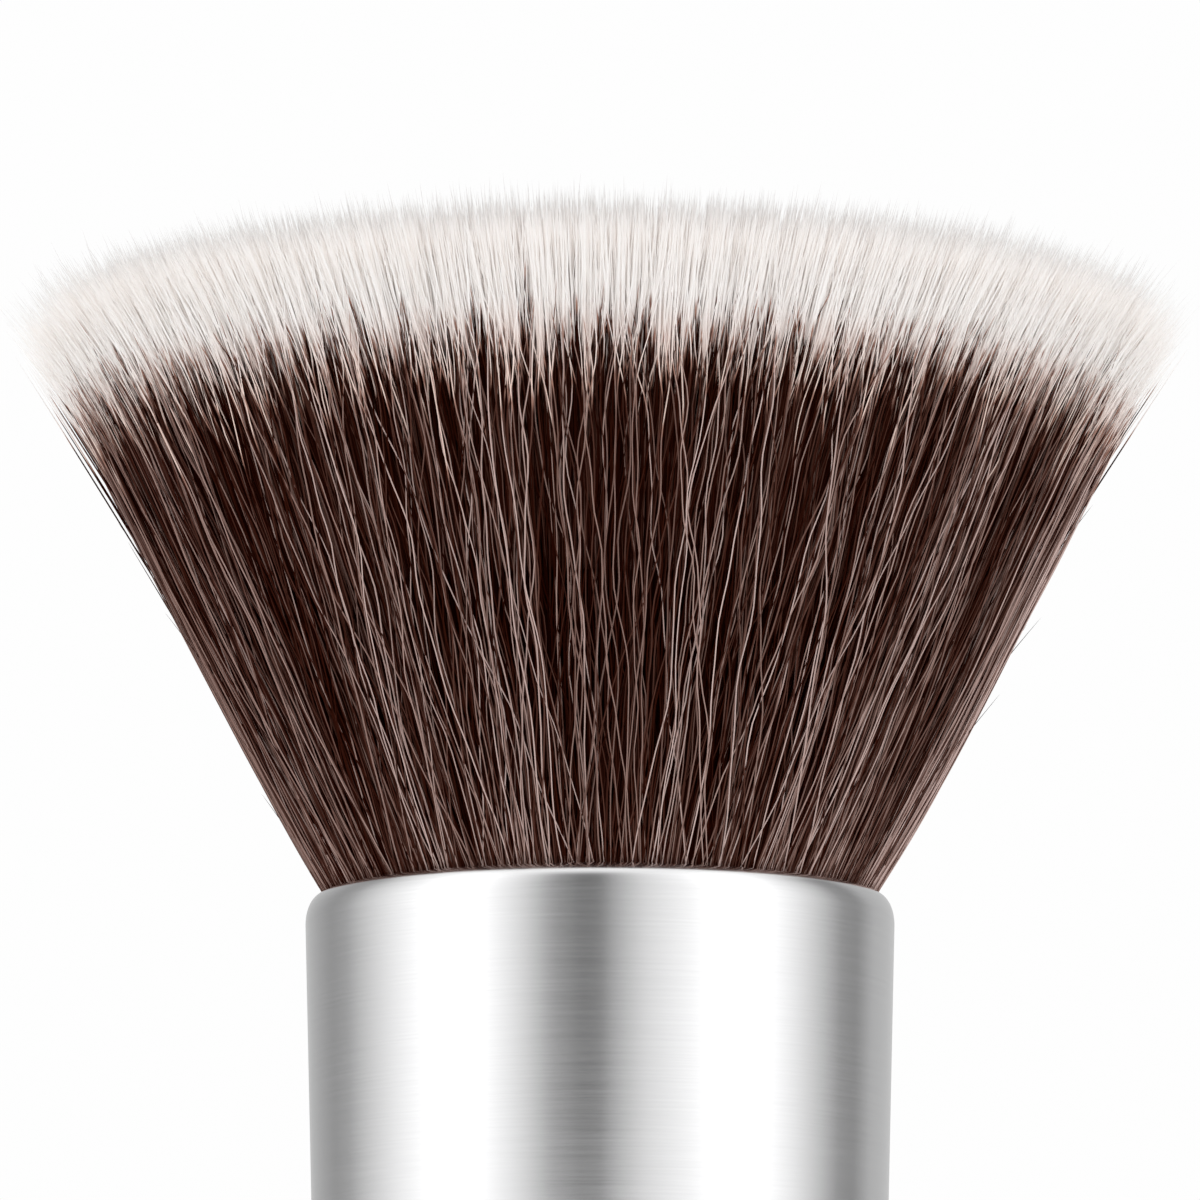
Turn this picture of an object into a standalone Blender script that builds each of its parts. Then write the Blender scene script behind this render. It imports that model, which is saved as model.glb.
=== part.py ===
"""A flat-top foundation brush with a short turned handle.

A fan of filaments with dipped tips stands in a block of cast resin, inside a drawn aluminium
ferrule with a rolled lip. The ferrule is crimped and glued on the tenon of a turned wooden
handle. The handle is bored from below for a steel weight, and an aluminium foot closes the
bore. The brush stands on that foot, with its axis on +Z and the origin under it.
"""

import math
import random

import bmesh
import bpy
from mathutils import Matrix, Vector
from mathutils.geometry import interpolate_bezier

# Space left between two pieces that touch on the real brush
SEAT_GAP = 0.0003
# Vertices nearer than this become one where a turned outline closes
MERGE_DISTANCE = 0.000001

# Ferrule
FERRULE_RADIUS = 0.0110
FERRULE_LENGTH = 0.0280
FERRULE_TAPER = 0.0007
FERRULE_WALL = 0.0004
LIP_INSET = 0.0005
LIP_HEIGHT = 0.0013
CRIMP_RISE = 0.0045
CRIMP_HALF_WIDTH = 0.0009
CRIMP_DEPTH = 0.00025

# Bristle tuft
TUFT_RADIUS = 0.0206
TUFT_HEIGHT = 0.0225
TUFT_DOME = 0.0006
DIP_LENGTH = 0.0048
POINT_LENGTH = 0.0020
TIP_RAGGEDNESS = 0.0004
TIP_SEED = 7
ROOT_DEPTH = 0.0020
ROOT_SLICE_HEIGHT = 0.0012
STRAND_RINGS = 12
STRANDS_PER_RING_STEP = 6
STRAND_SIDES = 4
STRAND_FILL_SHARE = 0.90

# Resin block, and the thread tied round the roots
THREAD_DIAMETER = 0.0007
THREAD_SPACING = 0.0005
THREAD_TURNS = 3
BLOCK_FLANGE = 0.0018

# Handle
HANDLE_LENGTH = 0.0400
WAIST_RADIUS = 0.0092
WAIST_RISE = 0.0215
HANDLE_EDGE = 0.0004
TENON_CHAMFER = 0.0006
BORE_RADIUS = 0.0055

# Adhesive set in the tenon's channel
GLUE_RISE = 0.0085
GLUE_WIDTH = 0.0014
GLUE_THICKNESS = 0.0006

# Steel weight
WEIGHT_LENGTH = 0.0240
WEIGHT_CHAMFER = 0.0005

# Foot
FOOT_HEIGHT = 0.0040
FOOT_FILLET = 0.0009
SPIGOT_LENGTH = 0.0050
SPIGOT_CHAMFER = 0.0005
FOOT_GROOVE_INSET = 0.0022
FOOT_GROOVE_WIDTH = 0.0005
FOOT_GROOVE_DEPTH = 0.00025

# Facets round a turned piece
SHOWN_STEPS = 48
HIDDEN_STEPS = 32

# Facets along the round stretches of the outlines
LIP_FACETS = 8
LIP_INNER_FACETS = 3
ROLL_FACETS = 5
CRIMP_FACETS = 6
EDGE_FACETS = 3
WAIST_POINTS = 9
FILLET_FACETS = 5
THREAD_POINTS_PER_TURN = 24

# Heights that several pieces share
FERRULE_FOOT = HANDLE_LENGTH
MOUTH = FERRULE_FOOT + FERRULE_LENGTH
SHOULDER = MOUTH - LIP_HEIGHT
CRIMP_HEIGHT = FERRULE_FOOT + CRIMP_RISE
SLICE_TOP = MOUTH - ROOT_DEPTH
SLICE_BOTTOM = SLICE_TOP - ROOT_SLICE_HEIGHT
THREAD_PITCH = THREAD_DIAMETER + THREAD_SPACING
CHANNEL_HEIGHT = THREAD_TURNS * THREAD_PITCH + THREAD_DIAMETER + 2 * SEAT_GAP
BLOCK_TOP = SLICE_BOTTOM - SEAT_GAP
BLOCK_BOTTOM = BLOCK_TOP - CHANNEL_HEIGHT - 2 * BLOCK_FLANGE
TENON_TOP = BLOCK_BOTTOM - SEAT_GAP
HANDLE_TOP = FERRULE_FOOT - SEAT_GAP
HANDLE_BOTTOM = FOOT_HEIGHT + SEAT_GAP
SPIGOT_TOP = FOOT_HEIGHT + SPIGOT_LENGTH
WEIGHT_BOTTOM = SPIGOT_TOP + SEAT_GAP
WEIGHT_TOP = WEIGHT_BOTTOM + WEIGHT_LENGTH
GLUE_BOTTOM = FERRULE_FOOT + GLUE_RISE

# Radii that several pieces share. The foot is as wide as the ferrule's shoulder.
LIP_CROWN_RADIUS = FERRULE_RADIUS - LIP_INSET
MOUTH_RADIUS = LIP_CROWN_RADIUS - FERRULE_WALL / 2
BORE_FIT_RADIUS = BORE_RADIUS - SEAT_GAP
FOOT_RADIUS = FERRULE_RADIUS


def clear_scene():
    """Removes whatever the file already holds."""
    for old in list(bpy.data.objects):
        bpy.data.objects.remove(old, do_unlink=True)


def collection_named(name):
    """A new collection, linked to the scene."""
    made = bpy.data.collections.new(name)
    bpy.context.scene.collection.children.link(made)
    return made


def material(name, colour, roughness, metallic=0.0):
    """A Principled material with an even colour."""
    made = bpy.data.materials.new(name)
    made.use_nodes = True
    shader = made.node_tree.nodes["Principled BSDF"]
    shader.inputs["Base Color"].default_value = (*colour, 1.0)
    shader.inputs["Roughness"].default_value = roughness
    shader.inputs["Metallic"].default_value = metallic
    made.diffuse_color = (*colour, 1.0)
    return made


def add_object(name, data, collection, finish):
    """An object for this mesh or curve, in a collection and with its material."""
    made = bpy.data.objects.new(name, data)
    collection.objects.link(made)
    data.materials.append(finish)
    return made


def arc(centre, radii, start, end, count):
    """Points of an elliptical arc about a (radius, height) centre, between two angles in degrees."""
    points = []
    for step in range(count + 1):
        angle = math.radians(start + (end - start) * step / count)
        across = centre[0] + radii[0] * math.cos(angle)
        up = centre[1] + radii[1] * math.sin(angle)
        points.append((across, up))
    return points


def turned(name, outline, steps, collection, finish, closed=False):
    """A piece turned about Z from (radius, height) points that run down its outer side.

    A closed outline makes a ring or a tube. An open one starts and ends on the axis.
    """
    mesh = bpy.data.meshes.new(name)
    vertices = [(across, 0.0, up) for across, up in outline]
    edges = [(i, i + 1) for i in range(len(outline) - 1)]
    if closed:
        edges.append((len(outline) - 1, 0))
    mesh.from_pydata(vertices, edges, [])
    piece = add_object(name, mesh, collection, finish)
    turn = piece.modifiers.new("Turn", "SCREW")
    turn.axis = "Z"
    turn.steps = steps
    turn.render_steps = steps
    turn.use_merge_vertices = True
    turn.merge_threshold = MERGE_DISTANCE
    turn.use_smooth_shade = True
    return piece


def ferrule_outside(height):
    """Outer radius of the ferrule's tapered wall."""
    fall = (SHOULDER - height) / (SHOULDER - FERRULE_FOOT)
    return FERRULE_RADIUS - FERRULE_TAPER * fall


def ferrule_bore(height):
    """Inner radius of the ferrule's tapered wall, without the crimp."""
    return ferrule_outside(height) - FERRULE_WALL


def ferrule_fit(height):
    """Radius of what fills the ferrule, without the crimp."""
    return ferrule_bore(height) - SEAT_GAP


def crimped(radius_at):
    """Points up through the crimp of a wall whose radius is a function of the height."""
    points = []
    for step in range(CRIMP_FACETS + 1):
        along = 2 * step / CRIMP_FACETS - 1
        up = CRIMP_HEIGHT + CRIMP_HALF_WIDTH * along
        depth = CRIMP_DEPTH * math.cos(math.pi * along / 2) ** 2
        points.append((radius_at(up) - depth, up))
    return points


def make_ferrule(collection, finish):
    """Thin drawn tube, wider at the top, with a rolled lip and one crimp."""
    lip_centre = (LIP_CROWN_RADIUS, SHOULDER)
    outer_lip = arc(lip_centre, (LIP_INSET, LIP_HEIGHT), 90, 0, LIP_FACETS)
    outer_wall = crimped(ferrule_outside)[::-1]
    foot = [
        (ferrule_outside(FERRULE_FOOT), FERRULE_FOOT),
        (ferrule_bore(FERRULE_FOOT), FERRULE_FOOT),
    ]
    inner_wall = crimped(ferrule_bore)
    inner_radii = (LIP_INSET - FERRULE_WALL, LIP_HEIGHT - FERRULE_WALL)
    inner_lip = arc(lip_centre, inner_radii, 0, 90, LIP_INNER_FACETS)
    edge_centre = (LIP_CROWN_RADIUS, MOUTH - FERRULE_WALL / 2)
    edge_radii = (FERRULE_WALL / 2, FERRULE_WALL / 2)
    rolled_edge = arc(edge_centre, edge_radii, 270, 90, ROLL_FACETS)[1:-1]
    outline = outer_lip + outer_wall + foot + inner_wall + inner_lip + rolled_edge
    return turned("ferrule", outline, SHOWN_STEPS, collection, finish, closed=True)


def fan_radius(height):
    """Outer radius of the fan of strands, on a straight line out of the ferrule's mouth."""
    widest_level = MOUTH + TUFT_HEIGHT - POINT_LENGTH
    at_mouth = MOUTH_RADIUS - SEAT_GAP
    spread = (TUFT_RADIUS - at_mouth) / (widest_level - MOUTH)
    return at_mouth + spread * (height - MOUTH)


def unit_strand(levels, widths):
    """A strand one unit long on +Z: a widening shaft, its dipped stretch, and a point.

    The levels are the shares of the length where the dip and the point start, and the widths
    there are in units of the root's.
    """
    flat_to_corner = 1 / math.cos(math.pi / STRAND_SIDES)
    made = bmesh.new()
    shaft = bmesh.ops.create_cone(
        made,
        cap_ends=True,
        segments=STRAND_SIDES,
        radius1=flat_to_corner,
        radius2=flat_to_corner * widths[0],
        depth=levels[0],
    )
    bmesh.ops.translate(made, verts=shaft["verts"], vec=(0, 0, levels[0] / 2))
    square_on = Matrix.Rotation(math.pi / STRAND_SIDES, 3, "Z")
    bmesh.ops.rotate(made, verts=made.verts, cent=(0, 0, 0), matrix=square_on)

    cap = max(made.faces, key=lambda face: face.calc_center_median().z)
    dipped = bmesh.ops.extrude_discrete_faces(made, faces=[cap])["faces"][0]
    grown = widths[1] / widths[0]
    for vertex in dipped.verts:
        vertex.co.x *= grown
        vertex.co.y *= grown
        vertex.co.z = levels[1]
    point = bmesh.ops.poke(made, faces=[dipped])
    point["verts"][0].co.z = 1.0
    for face in made.faces:
        if face.calc_center_median().z > levels[0]:
            face.material_index = 1
    mesh = bpy.data.meshes.new("unit_strand")
    made.to_mesh(mesh)
    made.free()
    return mesh


def half_width_share(ring):
    """Half a strand's width, as a share of the fan's radius: what its neighbours leave it."""
    ring = max(ring, 1)
    slope = math.tan(math.pi / (STRANDS_PER_RING_STEP * ring))
    room = ring * slope / (1 + slope)
    return STRAND_FILL_SHARE * room / STRAND_RINGS


def strand_places():
    """(ring, angle) of each strand: one in the middle, then rings that hold more and more."""
    places = [(0, 0.0)]
    golden_angle = math.pi * (3 - math.sqrt(5))
    for ring in range(1, STRAND_RINGS + 1):
        count = STRANDS_PER_RING_STEP * ring
        for index in range(count):
            places.append((ring, 2 * math.pi * index / count + ring * golden_angle))
    return places


def make_strands(collection, shaft_finish, tip_finish):
    """All the strands in one mesh. Each lies on its own line of the fan, so none cross."""
    root_level = SLICE_TOP - ROOT_SLICE_HEIGHT / 2
    tip_level = MOUTH + TUFT_HEIGHT
    dip_level = tip_level - DIP_LENGTH
    point_level = tip_level - POINT_LENGTH
    fan_height = tip_level - root_level
    strand = unit_strand(
        [(level - root_level) / fan_height for level in (dip_level, point_level)],
        [fan_radius(level) / fan_radius(root_level) for level in (dip_level, point_level)],
    )

    # The outer ring's strands have their outer sides on the fan's own side.
    outer_line_share = 1 - half_width_share(STRAND_RINGS)
    chance = random.Random(TIP_SEED)
    gathered = bmesh.new()
    for ring, angle in strand_places():
        outward = Vector((math.cos(angle), math.sin(angle), 0.0))
        around = Vector((-math.sin(angle), math.cos(angle), 0.0))
        line_share = outer_line_share * ring / STRAND_RINGS
        root = outward * fan_radius(root_level) * line_share
        tip = outward * fan_radius(tip_level) * line_share
        root.z = root_level
        tip.z = tip_level
        rise = TUFT_DOME * (1 - line_share**2) + TIP_RAGGEDNESS * chance.uniform(-1, 1)
        way = (tip - root) * (1 + rise / fan_height)
        along = way.normalized()
        turn = Matrix((around.cross(along), around, along)).transposed().to_4x4()
        half_width = fan_radius(root_level) * outer_line_share * half_width_share(ring)
        # The lines lean, so square to them the rings are closer by the cosine, which is along.z.
        size = Matrix.Diagonal((half_width * along.z, half_width, way.length, 1.0))
        first = len(gathered.verts)
        gathered.from_mesh(strand)
        gathered.verts.ensure_lookup_table()
        placed = Matrix.Translation(root) @ turn @ size
        bmesh.ops.transform(gathered, matrix=placed, verts=gathered.verts[first:])
    mesh = bpy.data.meshes.new("strands")
    gathered.to_mesh(mesh)
    gathered.free()
    bpy.data.meshes.remove(strand)
    strands = add_object("strands", mesh, collection, shaft_finish)
    mesh.materials.append(tip_finish)
    strands.hide_render = True
    strands.display_type = "WIRE"
    return strands


def make_tuft(collection, helpers, shaft_finish, tip_finish):
    """The fan of strands, standing in the slice of resin that holds their roots."""
    outline = [
        (0.0, SLICE_TOP),
        (ferrule_fit(SLICE_TOP), SLICE_TOP),
        (ferrule_fit(SLICE_BOTTOM), SLICE_BOTTOM),
        (0.0, SLICE_BOTTOM),
    ]
    tuft = turned("bristle_tuft", outline, HIDDEN_STEPS, collection, shaft_finish)
    tuft.data.materials.append(tip_finish)
    joined = tuft.modifiers.new("Strands", "BOOLEAN")
    joined.operation = "UNION"
    joined.solver = "EXACT"
    joined.object = make_strands(helpers, shaft_finish, tip_finish)
    return tuft


def channel_floor():
    """Radius of the resin block's core, inside the thread."""
    return ferrule_fit(BLOCK_BOTTOM) - THREAD_DIAMETER - SEAT_GAP


def make_root_block(collection, finish):
    """The cast resin round the filaments' roots, waisted where the thread ties them."""
    channel_top = BLOCK_TOP - BLOCK_FLANGE
    channel_bottom = BLOCK_BOTTOM + BLOCK_FLANGE
    outline = [
        (0.0, BLOCK_TOP),
        (ferrule_fit(BLOCK_TOP), BLOCK_TOP),
        (ferrule_fit(channel_top), channel_top),
        (channel_floor(), channel_top),
        (channel_floor(), channel_bottom),
        (ferrule_fit(channel_bottom), channel_bottom),
        (ferrule_fit(BLOCK_BOTTOM), BLOCK_BOTTOM),
        (0.0, BLOCK_BOTTOM),
    ]
    return turned("root_block", outline, HIDDEN_STEPS, collection, finish)


def make_thread(collection, finish):
    """The waxed thread tied round the roots: one helix, with a straight stretch at each end."""
    wound_radius = channel_floor() + SEAT_GAP + THREAD_DIAMETER / 2
    start_level = BLOCK_BOTTOM + BLOCK_FLANGE + SEAT_GAP + THREAD_DIAMETER / 2
    wound = []
    for step in range(THREAD_TURNS * THREAD_POINTS_PER_TURN + 1):
        turns = step / THREAD_POINTS_PER_TURN
        angle = 2 * math.pi * turns
        across = wound_radius * math.cos(angle)
        along = wound_radius * math.sin(angle)
        wound.append(Vector((across, along, start_level + THREAD_PITCH * turns)))
    first_end = wound[0] + (wound[0] - wound[1]).normalized() * THREAD_DIAMETER
    last_end = wound[-1] + (wound[-1] - wound[-2]).normalized() * THREAD_DIAMETER
    route = [first_end, *wound, last_end]

    least = min(
        (one - other).length
        for index, one in enumerate(route)
        for other in route[index + THREAD_POINTS_PER_TURN // 2 :]
    )
    print(f"tie_thread: least gap to itself {(least - THREAD_DIAMETER) * 1000:.2f} mm")

    curve = bpy.data.curves.new("tie_thread", "CURVE")
    curve.dimensions = "3D"
    curve.bevel_depth = THREAD_DIAMETER / 2
    curve.bevel_resolution = 1
    curve.use_fill_caps = True
    spline = curve.splines.new("POLY")
    spline.points.add(len(route) - 1)
    for point, place in zip(spline.points, route):
        point.co = (*place, 1.0)
    return add_object("tie_thread", curve, collection, finish)


def handle_side():
    """The handle's waisted side, from under its top edge down to the foot."""
    top = Vector((ferrule_outside(FERRULE_FOOT), HANDLE_TOP - HANDLE_EDGE, 0))
    waist = Vector((WAIST_RADIUS, WAIST_RISE, 0))
    bottom = Vector((FOOT_RADIUS, HANDLE_BOTTOM, 0))
    pull_share = 0.4
    pull_up = Vector((0, (top.y - waist.y) * pull_share, 0))
    pull_down = Vector((0, (waist.y - bottom.y) * pull_share, 0))
    upper = interpolate_bezier(top, top - pull_up, waist + pull_up, waist, WAIST_POINTS)
    lower = interpolate_bezier(
        waist, waist - pull_down, bottom + pull_down, bottom, WAIST_POINTS
    )
    return [(point.x, point.y) for point in upper + lower[1:]]


def make_handle(collection, finish):
    """Turned handle: a tenon that fills the ferrule, a waist, and a bore from below."""
    channel_bottom = GLUE_BOTTOM - SEAT_GAP
    channel_top = GLUE_BOTTOM + GLUE_WIDTH + SEAT_GAP
    channel_radius = ferrule_fit(channel_bottom) - GLUE_THICKNESS - SEAT_GAP
    tenon = [
        (0.0, TENON_TOP),
        (ferrule_fit(TENON_TOP) - TENON_CHAMFER, TENON_TOP),
        (ferrule_fit(TENON_TOP), TENON_TOP - TENON_CHAMFER),
        (ferrule_fit(channel_top), channel_top),
        (channel_radius, channel_top),
        (channel_radius, channel_bottom),
        (ferrule_fit(channel_bottom), channel_bottom),
        *crimped(ferrule_fit)[::-1],
        (ferrule_fit(HANDLE_TOP), HANDLE_TOP),
    ]
    edge_centre = (ferrule_outside(FERRULE_FOOT) - HANDLE_EDGE, HANDLE_TOP - HANDLE_EDGE)
    top_edge = arc(edge_centre, (HANDLE_EDGE, HANDLE_EDGE), 90, 0, EDGE_FACETS)[:-1]
    bore = [
        (BORE_RADIUS, HANDLE_BOTTOM),
        (BORE_RADIUS, WEIGHT_TOP + SEAT_GAP),
        (0.0, WEIGHT_TOP + SEAT_GAP),
    ]
    outline = tenon + top_edge + handle_side() + bore
    return turned("handle", outline, SHOWN_STEPS, collection, finish)


def make_glue_ring(collection, finish):
    """The ring of adhesive that set in the tenon's channel, under the ferrule."""
    top = GLUE_BOTTOM + GLUE_WIDTH
    outside = ferrule_fit(GLUE_BOTTOM)
    inside = outside - GLUE_THICKNESS
    outline = [(outside, top), (outside, GLUE_BOTTOM), (inside, GLUE_BOTTOM), (inside, top)]
    return turned("glue_ring", outline, HIDDEN_STEPS, collection, finish, closed=True)


def make_weight(collection, finish):
    """Steel slug low in the handle, so that the brush stands."""
    edge = BORE_FIT_RADIUS - WEIGHT_CHAMFER
    outline = [
        (0.0, WEIGHT_TOP),
        (edge, WEIGHT_TOP),
        (BORE_FIT_RADIUS, WEIGHT_TOP - WEIGHT_CHAMFER),
        (BORE_FIT_RADIUS, WEIGHT_BOTTOM + WEIGHT_CHAMFER),
        (edge, WEIGHT_BOTTOM),
        (0.0, WEIGHT_BOTTOM),
    ]
    return turned("balance_weight", outline, HIDDEN_STEPS, collection, finish)


def make_foot(collection, finish):
    """Turned aluminium foot, with a spigot up the handle's bore and a groove under it."""
    fillet_centre = (FOOT_RADIUS - FOOT_FILLET, FOOT_FILLET)
    fillet = arc(fillet_centre, (FOOT_FILLET, FOOT_FILLET), 0, -90, FILLET_FACETS)
    groove_outside = FOOT_RADIUS - FOOT_GROOVE_INSET
    groove_inside = groove_outside - FOOT_GROOVE_WIDTH
    outline = [
        (0.0, SPIGOT_TOP),
        (BORE_FIT_RADIUS - SPIGOT_CHAMFER, SPIGOT_TOP),
        (BORE_FIT_RADIUS, SPIGOT_TOP - SPIGOT_CHAMFER),
        (BORE_FIT_RADIUS, FOOT_HEIGHT),
        (FOOT_RADIUS, FOOT_HEIGHT),
        *fillet,
        (groove_outside, 0.0),
        (groove_outside, FOOT_GROOVE_DEPTH),
        (groove_inside, FOOT_GROOVE_DEPTH),
        (groove_inside, 0.0),
        (0.0, 0.0),
    ]
    return turned("base_cap", outline, SHOWN_STEPS, collection, finish)


def main():
    clear_scene()
    brush = collection_named("foundation_brush")
    helpers = collection_named("guides")

    aluminium = material("brushed_aluminium", (0.80, 0.80, 0.81), 0.32, metallic=1.0)
    foot_aluminium = material("turned_aluminium", (0.76, 0.76, 0.77), 0.30, metallic=1.0)
    filament = material("brown_filament", (0.045, 0.021, 0.016), 0.42)
    dipped_tip = material("white_dipped_tip", (0.82, 0.76, 0.72), 0.55)
    resin = material("cast_resin", (0.55, 0.42, 0.24), 0.25)
    thread = material("waxed_thread", (0.62, 0.58, 0.50), 0.70)
    adhesive = material("set_adhesive", (0.70, 0.66, 0.50), 0.30)
    wood = material("stained_wood", (0.060, 0.026, 0.015), 0.35)
    steel = material("plain_steel", (0.45, 0.45, 0.46), 0.40, metallic=1.0)

    make_tuft(brush, helpers, filament, dipped_tip)
    make_root_block(brush, resin)
    make_thread(brush, thread)
    make_ferrule(brush, aluminium)
    make_glue_ring(brush, adhesive)
    make_handle(brush, wood)
    make_weight(brush, steel)
    make_foot(brush, foot_aluminium)


main()
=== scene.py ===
# %% [markdown]
# # A flat-top foundation brush
#
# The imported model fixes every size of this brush. This lesson gives its pieces the look of the
# real ones: a fan of fine filaments with white dipped tips, a brushed aluminium ferrule, a
# stained wooden handle and a turned foot.
#
# All lengths are in metres. The brush stands on the origin with its axis on +Z, and the camera
# looks along +Y.

import math

import bpy
import numpy as np
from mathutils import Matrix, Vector


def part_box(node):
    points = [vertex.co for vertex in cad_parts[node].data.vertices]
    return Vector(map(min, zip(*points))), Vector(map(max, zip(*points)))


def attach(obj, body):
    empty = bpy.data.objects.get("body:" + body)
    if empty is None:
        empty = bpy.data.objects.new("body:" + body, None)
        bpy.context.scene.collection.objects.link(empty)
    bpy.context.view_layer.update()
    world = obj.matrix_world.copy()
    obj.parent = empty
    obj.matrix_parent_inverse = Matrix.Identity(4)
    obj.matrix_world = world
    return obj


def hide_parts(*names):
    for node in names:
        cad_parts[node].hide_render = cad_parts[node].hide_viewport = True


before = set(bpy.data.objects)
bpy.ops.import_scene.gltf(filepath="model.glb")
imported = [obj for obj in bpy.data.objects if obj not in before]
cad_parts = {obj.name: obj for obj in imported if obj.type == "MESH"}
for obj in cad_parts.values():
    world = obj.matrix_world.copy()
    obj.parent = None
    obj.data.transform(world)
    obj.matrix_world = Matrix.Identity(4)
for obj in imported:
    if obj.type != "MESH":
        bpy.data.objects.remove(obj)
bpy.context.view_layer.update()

# %% [markdown]
# ## Heights and radii that the model settles
#
# A piece that is dressed here has to meet its neighbours, so its ends are read from the packed
# nodes and not typed again.

# %% Read the main sizes
FERRULE_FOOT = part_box("ferrule")[0].z
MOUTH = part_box("ferrule")[1].z
FERRULE_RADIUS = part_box("ferrule")[1].x
FOOT_TOP_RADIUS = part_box("base_cap")[1].x
HANDLE_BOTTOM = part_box("handle")[0].z
print(f"ferrule from {FERRULE_FOOT * 1000:.1f} to {MOUTH * 1000:.1f} mm")

# %% [markdown]
# ## Camera
#
# The photograph is a close view of the tuft from a little below the ferrule's mouth, with a
# long lens. The arc of the ferrule's rim and the arc of the tips bend by different amounts, and
# together they settle the camera's distance, its height and its tilt.

# %% Place the camera
CAMERA_DISTANCE = 0.3479
CAMERA_UNDER_MOUTH = 0.0455
CAMERA_TILT_DEGREES = 9.28
CAMERA_LENS_MM = 281.4
SENSOR_WIDTH_MM = 36.0
NEAREST_SEEN = 0.01

camera_data = bpy.data.cameras.new("camera")
camera_data.lens = CAMERA_LENS_MM
camera_data.sensor_width = SENSOR_WIDTH_MM
camera_data.clip_start = NEAREST_SEEN
camera = bpy.data.objects.new("camera", camera_data)
camera.location = (0.0, -CAMERA_DISTANCE, MOUTH - CAMERA_UNDER_MOUTH)
camera.rotation_euler = (math.radians(90 + CAMERA_TILT_DEGREES), 0.0, 0.0)
bpy.context.scene.collection.objects.link(camera)
bpy.context.scene.camera = camera
print("camera height:", round(camera.location.z * 1000, 1), "mm")

# %% [markdown]
# ## Helpers for shaders
#
# The room of light and every finish are shaders, and a shader is a small network of nodes. The
# first helper adds a node and fills its sockets in one go, from plain values or from other
# nodes' outputs. It serves the world and the finishes alike, because both own a node tree.

# %% Shader helpers
def add(owner, kind, inputs, **settings):
    """A node of this kind, with its settings made and its inputs filled or linked."""
    node = owner.node_tree.nodes.new("ShaderNode" + kind)
    for name, value in settings.items():
        setattr(node, name, value)
    for name, value in inputs.items():
        if isinstance(value, bpy.types.NodeSocket):
            owner.node_tree.links.new(value, node.inputs[name])
        else:
            node.inputs[name].default_value = value
    return node


def ramp(owner, factor, stops):
    """Colours along a factor, from (place, (red, green, blue)) stops."""
    node = add(owner, "ValToRGB", {"Fac": factor})
    elements = node.color_ramp.elements
    while len(elements) < len(stops):
        elements.new(0.5)
    for element, (place, colour) in zip(elements, stops):
        element.position = place
        element.color = (*colour, 1.0)
    return node.outputs["Color"]


def blend(owner, factor, first, second):
    """A colour that goes from the first to the second."""
    node = add(owner, "Mix", {"Factor": factor}, data_type="RGBA")
    for socket, value in ((node.inputs[6], first), (node.inputs[7], second)):
        if isinstance(value, bpy.types.NodeSocket):
            owner.node_tree.links.new(value, socket)
        else:
            socket.default_value = (*value, 1.0)
    return node.outputs[2]


def fade(owner, value, start, end):
    """0 up to the start, 1 from the end on, and a soft step between them."""
    limits = {"Value": value, "From Min": start, "From Max": end}
    return add(owner, "MapRange", limits, interpolation_type="SMOOTHSTEP").outputs[0]


def new_finish(name, roughness, **sockets):
    """A material and its Principled shader, with the values that are even all over."""
    finish = bpy.data.materials.new(name)
    finish.use_nodes = True
    shader = finish.node_tree.nodes["Principled BSDF"]
    shader.inputs["Roughness"].default_value = roughness
    for socket, value in sockets.items():
        shader.inputs[socket.replace("_", " ")].default_value = value
    return finish, shader


# %% [markdown]
# ## Studio
#
# The photograph was taken in a white room with a tall soft light on each side. The metal shows
# them best, because a round tube mirrors the whole room: a bright band left and right, a dark
# one in the middle for the unlit place behind the camera, and grey edges for the far side.
#
# A room of light can be a world shader. It reads the bearing of each ray, counted from the
# camera's side to the right, and looks its brightness up in a ramp. A flank that is turned 30
# degrees away mirrors the bearing of 60 degrees, so the ramp is read off the ferrule.
#
# White filaments hand light on to each other many times. Light may bounce ten times between
# them here, or the white tips would turn grey.

# %% Light of the room by bearing
DIFFUSE_BOUNCES = 10
LEVEL_BY_BEARING = (
    (-180, 0.36),
    (-151, 0.27),
    (-130, 0.19),
    (-118, 0.23),
    (-100, 0.45),
    (-75, 0.76),
    (-60, 1.00),
    (-46, 0.78),
    (-30, 0.48),
    (-18, 0.20),
    (-7, 0.098),
    (0, 0.112),
    (6, 0.26),
    (18, 0.49),
    (36, 0.70),
    (55, 1.00),
    (72, 0.76),
    (91, 0.46),
    (109, 0.19),
    (120, 0.16),
    (135, 0.29),
    (180, 0.36),
)

bpy.context.scene.view_settings.view_transform = "Standard"
bpy.context.scene.cycles.diffuse_bounces = DIFFUSE_BOUNCES
world = bpy.data.worlds.new("white_room")
bpy.context.scene.world = world
world.use_nodes = True
world.node_tree.nodes.clear()

ray_way = add(world, "TexCoord", {})
way = add(world, "SeparateXYZ", {"Vector": ray_way.outputs["Generated"]})
ahead = add(world, "Math", {0: way.outputs["Y"], 1: -1.0}, operation="MULTIPLY")
turn = add(world, "Math", {0: way.outputs["X"], 1: ahead.outputs[0]}, operation="ARCTAN2")
place = add(
    world, "MapRange", {"Value": turn.outputs[0], "From Min": -math.pi, "From Max": math.pi}
)
level_stops = [((degrees + 180) / 360, (level,) * 3) for degrees, level in LEVEL_BY_BEARING]
bands = ramp(world, place.outputs[0], level_stops)
print("room light: ramp with", len(level_stops), "bearings")

# %% [markdown]
# A small soft light hangs overhead. It draws the thin bright line along the ferrule's lip. Soft
# fibres need no bands, so only rays that leave a glossy surface meet them. All others meet a
# white tent that is a little brighter on the camera's side, and the camera itself sees a plain
# white backdrop.

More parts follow.
